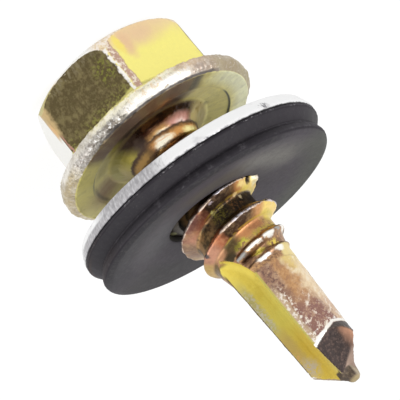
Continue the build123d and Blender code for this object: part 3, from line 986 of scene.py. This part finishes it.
def disc_steel():
    """Bright zinc on the stamped disc: white in the light, brushed grey lines, and a torn lower edge."""
    m = Paint("disc_zinc", (246, 246, 246))
    m.rough_out((1.6, 0.20), (6.0, 0.10))
    cloud = m.noise(0.8, 3, 0.6)
    patch = m.noise(2.4, 2, 0.6)
    grain = m.noise(5.0, 3, 0.65)
    brushed = m.noise(7.0, 3, 0.6, at=m.stretched(0.15))
    m.lay(m.arc(-73, -8, 5), (184, 182, 184))
    m.lay(m.arc(20, 160, 20), (196, 194, 196))
    m.mottle(m.arc(-76, 200, 6), brushed, (140, 138, 142), (228, 228, 230), 0.45)
    m.lay(m.arc(-36, 4, 6) * m.ramp(m.z + grain * 0.1, disc_gleam, disc_gleam - 0.12), (252, 252, 252))
    m.lay(m.ramp(cloud, 0.56, 0.70) * (1 - m.arc(-165, -126)) * 0.4, (190, 188, 192))
    worn = m.arc(-124, -60, 4) + m.arc(10, 170, 6)
    worn = worn * m.ramp(m.z + grain * 0.3, disc_worn, disc_worn + 0.10) * m.ramp(patch, 0.50, 0.60)
    m.lay(worn * 0.8, (132, 130, 134))
    # a scuff with a pit in it, and the torn edge
    m.lay(m.spot(-127, 6.6, -1.72, 0.5, 0.34, 0.6) * m.ramp(brushed, 0.40, 0.56), (122, 120, 124))
    m.lay(m.spot(-125, 6.6, -2.08, 0.16, 0.20, 0.4), (90, 86, 86))
    m.lay(m.ramp(m.z + grain * 0.10, disc_torn, disc_torn + 0.06), (74, 72, 76))
    m.bump(brushed * 0.6 + grain * 0.4, 0.010)
    return m.finish(metallic=0.9, roughness=0.26 + grain * 0.2)


def seal_rubber():
    """Moulded EPDM rubber: near black and dusty, its face painted lighter, with bands of painted highlight
    and painted shade.
    """
    m = Paint("seal_epdm", (62, 58, 64))
    m.rough_out((0.8, 0.5), (5.0, 0.12))
    dust = m.noise(1.6, 4, 0.65)
    fine = m.noise(5.0, 3, 0.6)
    speck = m.noise(9.0, 3, 0.7)

    # the face is painted lighter where it takes more light, with painted highlight bands near the bore and
    # painted shade towards the lip
    face = m.ramp(m.facing_z, 0.45, 0.85)
    m.lay(face, (94, 89, 96))
    m.lay(face * m.arc(-60, 10, 16) * m.ramp(m.radius, 4.2, 5.4), (76, 74, 79))
    m.lay(face * m.ramp(m.radius, 5.4, 6.4) * m.arc(-130, 0, 12), (62, 60, 64))
    m.lay(face * m.arc(-166, -110, 16) * m.band(m.radius, 3.3, 5.2, 0.9), (142, 140, 136))
    m.lay(face * m.arc(-112, -68, 12) * m.band(m.radius, 3.2, 4.7, 0.6), (110, 104, 98))
    m.lay(face * m.arc(-62, 6, 14) * m.band(m.radius, 2.6, 4.4, 0.9), (108, 106, 110))
    m.lay(face * m.arc(110, 200, 14) * m.ramp(m.radius, 4.2, 5.8), (104, 105, 100))
    m.lay(face * m.arc(20, 100, 14) * m.ramp(m.radius, 3.6, 4.6), (86, 84, 86))
    m.mottle(face, fine, (78, 76, 79), (104, 102, 102), 0.30)
    m.lay(m.ramp(dust, 0.45, 0.70) * 0.22, (92, 90, 92))
    m.lay(m.ramp(speck, 0.64, 0.74) * m.ramp(dust, 0.44, 0.56) * 0.5, (138, 134, 138))

    wall = m.ramp(m.facing_z, 0.4, 0.2) * m.ramp(m.radius, 4.0, 4.5)
    specks = m.ramp(speck, 0.54, 0.62) * m.ramp(dust, 0.46, 0.56)
    m.mottle(wall, dust, (50, 48, 53), (92, 88, 94), 0.55)
    m.lay(wall * specks * m.ramp(m.z, -0.9, -1.2), (186, 182, 186))
    m.lay(wall * (1 - m.arc(-120, -70, 20)) * 0.35, (116, 112, 118))
    m.lay(wall * m.ramp(dust, 0.56, 0.66) * 0.35, (128, 124, 130))
    m.lay(wall * m.arc(-30, 0, 8) * 0.3, (86, 70, 66))
    m.lay(face * m.ramp(m.radius, 6.50, 6.62) * m.arc(-10, 150, 10) * 0.7, (118, 92, 74))

    # painted light: the bore wall lightened against the shade inside it
    bore = m.ramp(m.radius, 2.9, 2.6) * m.ramp(m.facing_z, 0.6, 0.3)
    m.lay(bore, (150, 148, 150))
    m.dim(0.68)
    m.bump(fine * 0.6 + speck * 0.4, 0.02)
    m.shader.inputs["Specular IOR Level"].default_value = 0.15
    return m.finish(metallic=0.0, roughness=0.55 + dust * 0.2)


# ---- pieces

def dress(node, name, body, place, paints, voxel, smoothing, triangles):
    """Puts a finished piece over a CAD node and lets it ride on a body."""
    piece = eased_copy(node, name, place, voxel, smoothing, triangles)
    apply_modifiers(piece)
    piece.data.materials.clear()
    for paint in paints:
        piece.data.materials.append(paint)
    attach(piece, body)
    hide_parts(node)
    return piece


def number_faces(piece, number_at):
    """Gives each face the material whose number number_at(points) works out for its middle."""
    faces = piece.data.polygons
    numbers = number_at(vectors(faces, "center") / MM)
    faces.foreach_set("material_index", numbers.astype(np.int32))


screw = dress(
    "screw", "screw_forging", "screw", Matrix.Identity(4), [head_finish(), shank_finish()],
    voxel=0.050, smoothing=4, triangles=190_000,
)
number_faces(screw, lambda points: points[:, 2] > neck_end)
raise_surface(screw, screw_height)
dress(
    "seal_disc", "washer_disc", "washer", washer_place(), [disc_steel()],
    voxel=0.060, smoothing=2, triangles=90_000,
)
dress(
    "seal_ring", "washer_seal", "washer", washer_place(), [seal_rubber()],
    voxel=0.060, smoothing=2, triangles=120_000,
)


# ---- floor, light and camera

floor_size = 3.0
floor_light = 0.90  # what the floor shows by itself where it is seen
floor_albedo = 0.16
world_level = 0.60


def is_seen(nodes):
    """1 for what the camera sees directly, in a reflection or through something clear."""
    rays = nodes.node("LightPath").outputs
    direct_or_mirrored = nodes.maths("MAXIMUM", rays["Is Camera Ray"], rays["Is Glossy Ray"])
    return nodes.maths("MAXIMUM", direct_or_mirrored, rays["Is Transmission Ray"])


def stage_material():
    """White where it is seen, and matt for the light that falls on it, so that it keeps a faint shadow."""
    material = bpy.data.materials.new("studio_white")
    nodes = Nodes(material)
    nodes.tree.nodes.clear()
    matt = nodes.node("BsdfDiffuse", (floor_albedo, floor_albedo, floor_albedo, 1))
    glow = nodes.node("Emission")
    nodes.plug(is_seen(nodes) * floor_light, glow.inputs["Strength"])
    both = nodes.node("AddShader", matt.outputs[0], glow.outputs[0])
    nodes.node("OutputMaterial", both.outputs[0])
    return material


def add_floor():
    """A white floor under the screw, which isn't part of the object."""
    half = floor_size / 2
    mesh = bpy.data.meshes.new("floor")
    corners = [(-half, -half, 0), (half, -half, 0), (half, half, 0), (-half, half, 0)]
    mesh.from_pydata(corners, [], [(0, 1, 2, 3)])
    mesh.materials.append(stage_material())
    floor = add_object("floor", mesh)


def add_world(level):
    """A white world that gives this much light and is pure white where it is seen."""
    world = bpy.data.worlds.new("studio")
    bpy.context.scene.world = world
    nodes = Nodes(world)
    background = nodes.tree.nodes["Background"]
    background.inputs["Color"].default_value = (1, 1, 1, 1)
    strength = nodes.node("MapRange", is_seen(nodes), 0.0, 1.0, level, 1.0)
    nodes.plug(strength.outputs["Result"], background.inputs["Strength"])


def add_lamp(name, azimuth, elevation, distance, width, level):
    """A round lamp aimed at the part's middle; level is what it adds to a white surface that faces it."""
    lamp = bpy.data.lights.new(name, "AREA")
    lamp.shape = "DISK"
    lamp.size = width
    lamp.energy = level * (math.pi * distance) ** 2
    piece = add_object(name, lamp)
    a, e = math.radians(azimuth), math.radians(elevation)
    out = Vector((math.cos(a) * math.cos(e), math.sin(a) * math.cos(e), math.sin(e)))
    low, high = size_at_load
    piece.location = (low + high) / 2 + distance * out
    piece.rotation_mode = "QUATERNION"
    piece.rotation_quaternion = (-out).to_track_quat("-Z", "Y")


def add_camera():
    """The camera that was fitted to the photograph, aimed so that the target shows at target_pixel."""
    a, e, roll = (math.radians(v) for v in (view_azimuth, view_elevation, view_roll))
    back = Vector((math.sin(a) * math.cos(e), -math.cos(a) * math.cos(e), math.sin(e)))
    level_right = Vector((0, 0, 1)).cross(back).normalized()
    level_up = back.cross(level_right)
    right = math.cos(roll) * level_right + math.sin(roll) * level_up
    up = -math.sin(roll) * level_right + math.cos(roll) * level_up
    location = view_target + view_distance * back
    off_x = (target_pixel[0] - image_side / 2) / pixels_per_mm * MM
    off_y = (target_pixel[1] - image_side / 2) / pixels_per_mm * MM
    aim = view_target - off_x * right + off_y * up
    back = (location - aim).normalized()
    right = up.cross(back).normalized()
    up = back.cross(right)

    data = bpy.data.cameras.new("camera")
    data.sensor_width = 36.0
    data.lens = pixels_per_mm * view_distance / MM / image_side * data.sensor_width
    data.clip_start = 0.01
    data.clip_end = 10.0
    camera = add_object("camera", data)
    turn = Matrix((right, up, back)).transposed().to_4x4()
    camera.matrix_world = Matrix.Translation(location) @ turn
    bpy.context.scene.camera = camera


add_floor()
add_world(world_level)
add_lamp("key", azimuth=-125, elevation=50, distance=0.5, width=0.45, level=0.45)
add_lamp("fill", azimuth=-20, elevation=35, distance=0.5, width=0.40, level=0.20)
add_camera()
bpy.context.scene.view_settings.view_transform = "Standard"
